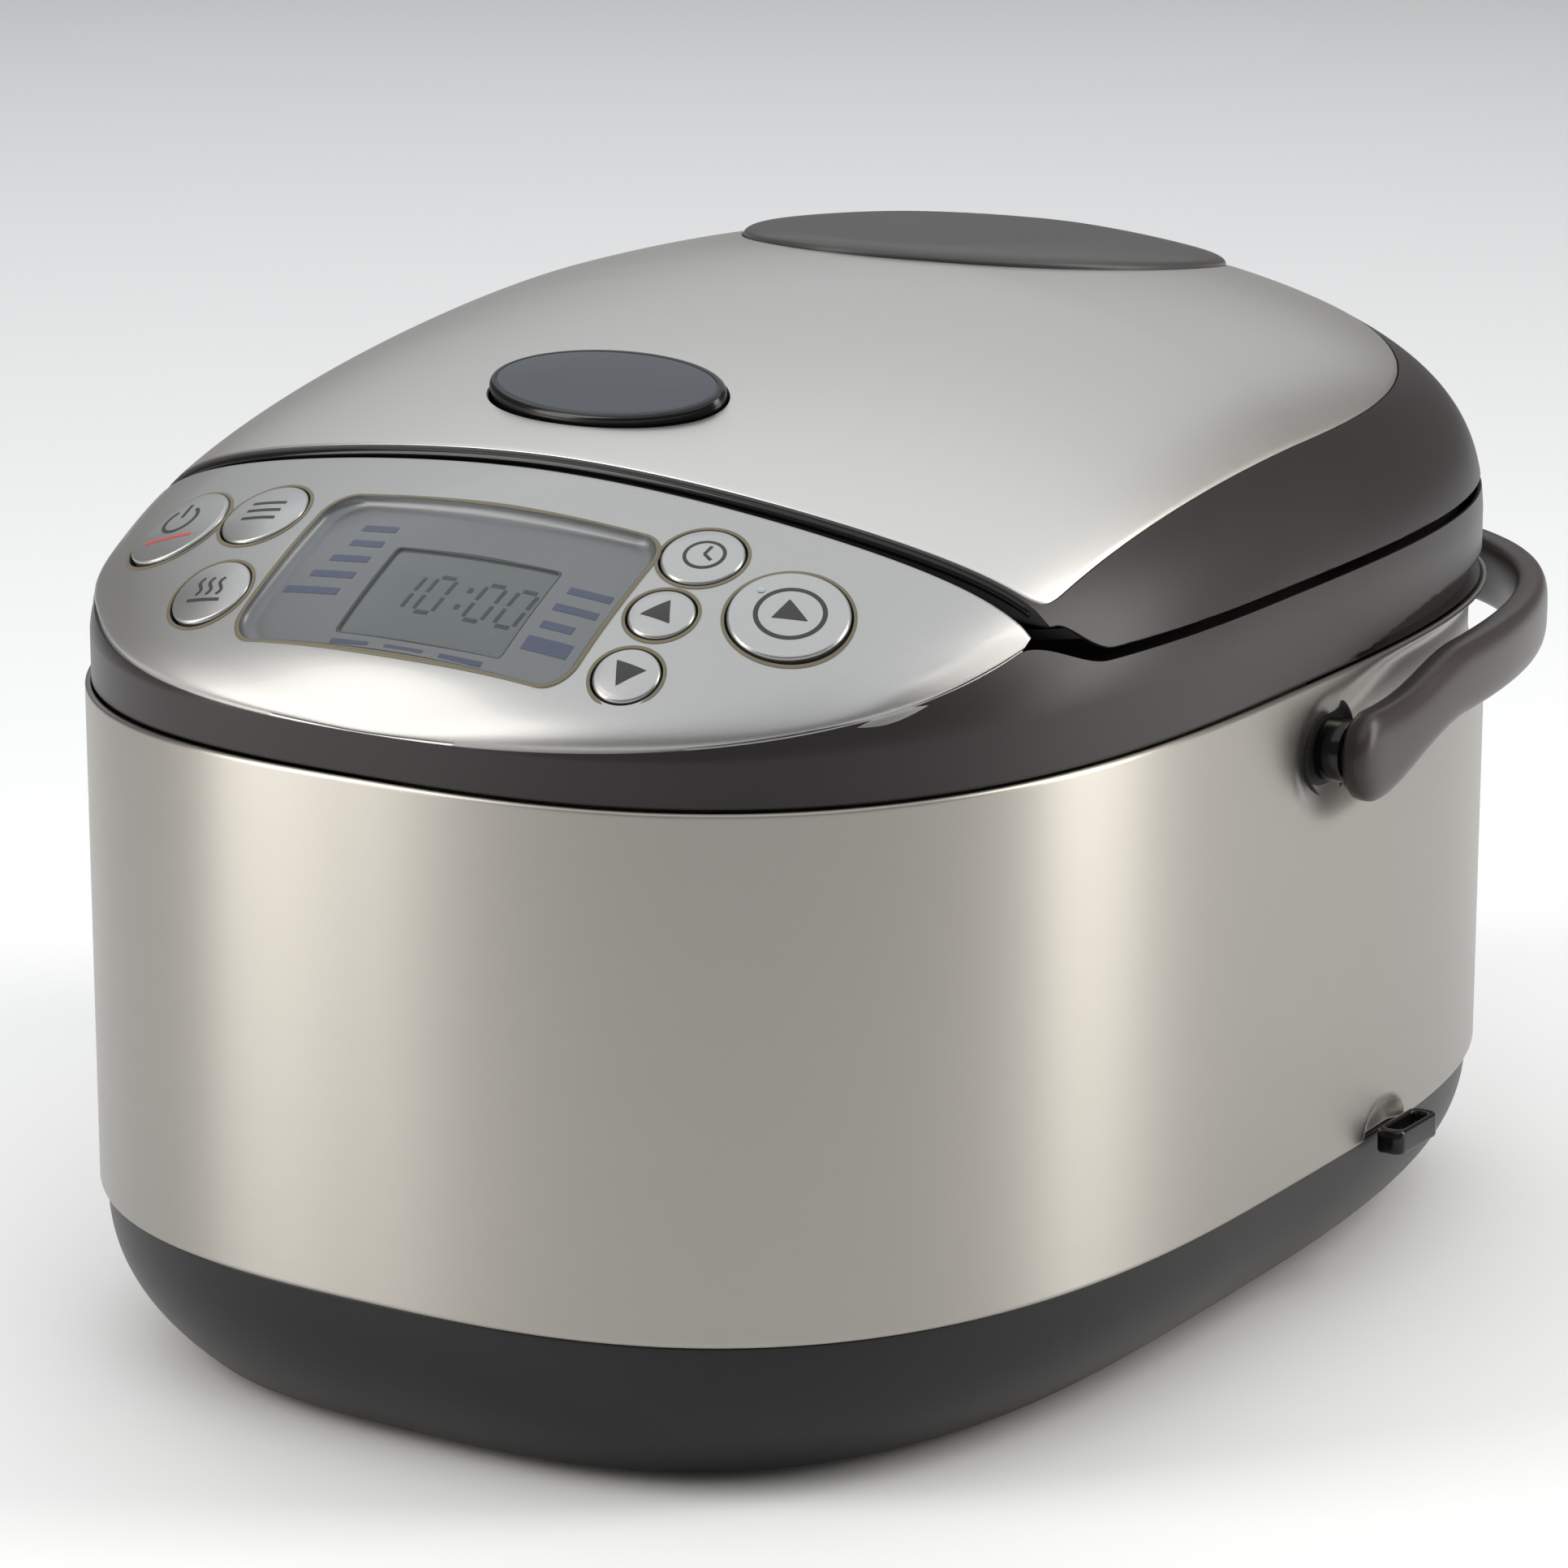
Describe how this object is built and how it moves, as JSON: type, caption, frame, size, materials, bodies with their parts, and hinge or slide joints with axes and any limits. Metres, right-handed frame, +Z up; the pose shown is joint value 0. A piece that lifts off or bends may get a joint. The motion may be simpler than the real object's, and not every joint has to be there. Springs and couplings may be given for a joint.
{
  "type": "rice cooker",
  "caption": "Electric rice cooker with hinged domed lid, sloping key panel with display window, steel wrap, removable pot and swinging carrying handle",
  "frame": {"origin": "middle of the part's plan on the surface it stands on", "axes": "+Z up, the control panel faces -Y, the carrying handle is stored at +Y, and +X is on the right of someone who faces the control panel"},
  "size_m": [0.3, 0.383, 0.2495],
  "materials": {
    "dark_plastic": "satin moulded dark grey",
    "grey_plastic": "satin moulded warm grey",
    "foot_rubber": "matt black rubber",
    "screw_steel": "zinc plated steel",
    "contact_brass": "plated brass",
    "satin_steel": "fine horizontal brushing, warm tint",
    "plain_steel": "plain pressed steel",
    "heater_aluminium": "as cast and lightly machined aluminium",
    "heater_wrap": "foil and mica wrap",
    "spring_steel": "drawn spring wire",
    "board_green": "solder mask over glass laminate",
    "relay_blue": "moulded blue case",
    "transformer_iron": "varnished lamination stack and winding",
    "capacitor_sleeve": "shrunk plastic sleeve",
    "pot_coating": "dark non-stick coating on aluminium",
    "silver_plastic": "silver painted plastic, satin",
    "silver_keys": "silver painted plastic, semi-gloss",
    "clear_window": "clear hard-coated plastic",
    "display_glass": "grey green display glass",
    "silicone": "translucent white silicone"
  },
  "bodies": {
    "body": {"base_shell": "dark_plastic", "rubber_feet": "foot_rubber", "base_screws": "screw_steel", "spatula_holder": "dark_plastic", "power_inlet": "dark_plastic", "inlet_pins": "contact_brass", "steel_wrap": "satin_steel", "upper_frame": "grey_plastic", "deck": "grey_plastic", "panel_carrier": "grey_plastic", "latch_catch": "plain_steel", "pot_well": "plain_steel", "heater_plate": "heater_aluminium", "heater_tube": "plain_steel", "side_heater": "heater_wrap", "thermal_fuse": "heater_wrap", "sensor_spring": "spring_steel", "sensor_seat": "grey_plastic", "power_board": "board_green", "relay": "relay_blue", "transformer": "transformer_iron", "capacitors": "capacitor_sleeve", "board_screws": "screw_steel", "inner_pot": "pot_coating", "control_panel": "silver_plastic", "display_window": "clear_window", "display_backing": "silver_plastic", "lcd_module": "display_glass", "key_board": "board_green", "tact_switches": "dark_plastic", "handle_pins": "screw_steel", "hinge_bracket": "grey_plastic", "hinge_pin": "screw_steel", "hinge_spring": "spring_steel", "hinge_cover": "grey_plastic"},
    "lid": {"lid_shell": "grey_plastic", "lid_plate": "satin_steel", "lid_liner": "grey_plastic", "inner_lid": "heater_aluminium", "inner_lid_gasket": "silicone", "inner_lid_knob": "dark_plastic", "lid_heater": "heater_wrap", "steam_duct": "grey_plastic", "vent_gasket": "silicone", "lid_button_springs": "spring_steel", "latch_pin": "screw_steel"},
    "cancel_key": {"button_cancel": "silver_keys"},
    "menu_key": {"button_menu": "silver_keys"},
    "warm_key": {"button_warm": "silver_keys"},
    "timer_key": {"button_timer": "silver_keys"},
    "up_key": {"button_up": "silver_keys"},
    "down_key": {"button_down": "silver_keys"},
    "start_key": {"button_start": "silver_keys"},
    "carrying_handle": {"handle": "grey_plastic"},
    "sensor": {"sensor_cup": "heater_aluminium"},
    "vent": {"vent_cap": "dark_plastic"},
    "release_button": {"lid_button": "grey_plastic"},
    "hook": {"latch_hook": "plain_steel"}
  },
  "joints": [
    {"name": "lid_hinge", "type": "hinge", "parent": "body", "child": "lid", "pos_m": [0, 0.1615, 0.194], "axis": [-1, 0, 0], "range_deg": [0, 85], "deforming": ["hinge_spring"]},
    {"name": "handle_swing", "type": "hinge", "parent": "body", "child": "carrying_handle", "pos_m": [0, 0.0105, 0.142], "axis": [1, 0, 0], "range_deg": [0, 95]},
    {"name": "lid_release", "type": "slide", "parent": "lid", "child": "release_button", "axis": [0, 0.2914, -0.9566], "range_m": [0, 0.002], "stiffness_N_per_m": 400, "springref_m": -0.002, "deforming": ["lid_button_springs"]},
    {"name": "latch_swing", "type": "hinge", "parent": "lid", "child": "hook", "pos_m": [0, -0.0845, 0.203], "axis": [1, 0, 0], "range_deg": [0, 10]},
    {"name": "vent_cap_lift", "type": "slide", "parent": "lid", "child": "vent", "axis": [0, 0, 1], "range_m": [0, 0.03]},
    {"name": "sensor_press", "type": "slide", "parent": "body", "child": "sensor", "axis": [0, 0, 1], "range_m": [-0.003, 0], "stiffness_N_per_m": 300, "springref_m": 0.002, "deforming": ["sensor_spring"]},
    {"name": "cancel_press", "type": "slide", "parent": "body", "child": "cancel_key", "axis": [0.2768, 0.435, -0.8569], "range_m": [0, 0.0008], "stiffness_N_per_m": 800, "springref_m": -0.0004},
    {"name": "menu_press", "type": "slide", "parent": "body", "child": "menu_key", "axis": [0.1501, 0.4265, -0.8919], "range_m": [0, 0.0008], "stiffness_N_per_m": 800, "springref_m": -0.0004},
    {"name": "warm_press", "type": "slide", "parent": "body", "child": "warm_key", "axis": [0.1471, 0.5402, -0.8286], "range_m": [0, 0.0008], "stiffness_N_per_m": 800, "springref_m": -0.0004},
    {"name": "timer_press", "type": "slide", "parent": "body", "child": "timer_key", "axis": [-0.1299, 0.4107, -0.9024], "range_m": [0, 0.0008], "stiffness_N_per_m": 800, "springref_m": -0.0004},
    {"name": "up_press", "type": "slide", "parent": "body", "child": "up_key", "axis": [-0.1319, 0.4767, -0.8691], "range_m": [0, 0.0008], "stiffness_N_per_m": 800, "springref_m": -0.0004},
    {"name": "down_press", "type": "slide", "parent": "body", "child": "down_key", "axis": [-0.1492, 0.574, -0.8052], "range_m": [0, 0.0008], "stiffness_N_per_m": 800, "springref_m": -0.0004},
    {"name": "start_press", "type": "slide", "parent": "body", "child": "start_key", "axis": [-0.2453, 0.4361, -0.8658], "range_m": [0, 0.0008], "stiffness_N_per_m": 800, "springref_m": -0.0004}
  ],
  "couplings": [
    {"joint": "latch_swing", "follows": "lid_release", "rad_per_m": 82.5}
  ]
}
